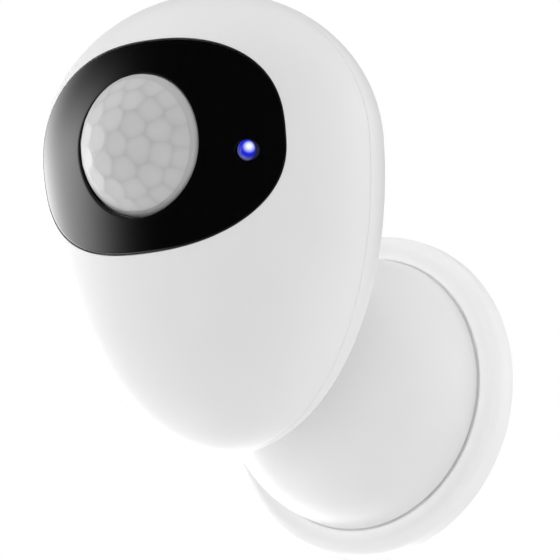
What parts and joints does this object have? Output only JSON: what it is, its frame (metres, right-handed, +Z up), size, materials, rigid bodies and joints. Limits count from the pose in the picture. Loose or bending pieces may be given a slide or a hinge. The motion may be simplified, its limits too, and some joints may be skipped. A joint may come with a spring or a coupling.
{
  "type": "motion sensor",
  "caption": "Wall-mount passive infrared motion sensor: egg-shaped head with black face panel and domed honeycomb lens on a magnetic ball-dome base.",
  "frame": {"origin": "centre of the base's back face, on the wall", "axes": "+Y into the wall, +Z up, the head looks along -Y"},
  "size_m": [0.0564, 0.0716, 0.0787],
  "materials": {
    "white_plastic": "fine satin moulded white plastic",
    "inner_plastic": "plain moulded light grey plastic",
    "black_gloss": "polished black plastic",
    "milky_lens": "milky translucent polyethylene",
    "led_blue": "clear blue epoxy",
    "gasket_rubber": "thin soft gasket",
    "seat_rubber": "soft silicone",
    "magnet_metal": "nickel plated",
    "tinned_wire": "tinned",
    "can_metal": "nickel plated pressed steel",
    "filter_dark": "dark infrared filter",
    "board_green": "green solder mask",
    "black_plastic": "moulded black plastic",
    "capacitor_sleeve": "shrink sleeve",
    "chip_ceramic": "fired chip parts",
    "contact_brass": "stamped spring brass",
    "battery_wrap": "plain shrink wrap",
    "screw_steel": "zinc plated"
  },
  "bodies": {
    "wall_base": {"wall_gasket": "gasket_rubber", "wall_plate": "white_plastic"},
    "dome": {"dome_shell": "white_plastic"},
    "magnet_follower": {"magnet_carrier": "inner_plastic", "dome_magnet": "magnet_metal"},
    "head_rear": {"rear_housing": "white_plastic", "seat_pad": "seat_rubber", "seat_magnet": "magnet_metal", "magnet_cover": "inner_plastic"},
    "head_front": {"front_housing": "white_plastic", "face_panel": "black_gloss", "pir_lens": "milky_lens", "lens_retainer": "inner_plastic", "status_led": "led_blue", "led_leads": "tinned_wire", "circuit_board": "board_green", "pir_sensor": "can_metal", "pir_window": "filter_dark", "pir_pins": "tinned_wire", "radio_module": "can_metal", "controller_chip": "black_plastic", "capacitor": "capacitor_sleeve", "board_components": "chip_ceramic", "antenna": "contact_brass", "battery_holder": "black_plastic", "battery_cell": "battery_wrap", "battery_terminals": "can_metal", "positive_contact": "contact_brass", "negative_contact": "contact_brass", "board_screws": "screw_steel", "switch_body": "black_plastic"},
    "button": {"reset_button": "white_plastic", "switch_plunger": "inner_plastic"}
  },
  "joints": [
    {"name": "dome_twist", "type": "hinge", "parent": "wall_base", "child": "dome", "pos_m": [0, -0.0048, 0], "axis": [0, -1, 0], "range_deg": [0, 35]},
    {"name": "head_pan", "type": "hinge", "parent": "dome", "child": "magnet_follower", "pos_m": [0, -0.0048, 0], "axis": [0, 0, 1], "range_deg": [-35, 35]},
    {"name": "head_tilt", "type": "hinge", "parent": "magnet_follower", "child": "head_rear", "pos_m": [0, -0.0048, 0], "axis": [1, 0, 0], "range_deg": [-25, 35]},
    {"name": "front_pull_off", "type": "slide", "parent": "head_rear", "child": "head_front", "axis": [0, -0.9877, -0.1564], "range_m": [0, 0.03]},
    {"name": "reset_press", "type": "slide", "parent": "head_front", "child": "button", "axis": [0, -0.9877, -0.1564], "range_m": [0, 0.0004], "stiffness_N_per_m": 3000}
  ]
}
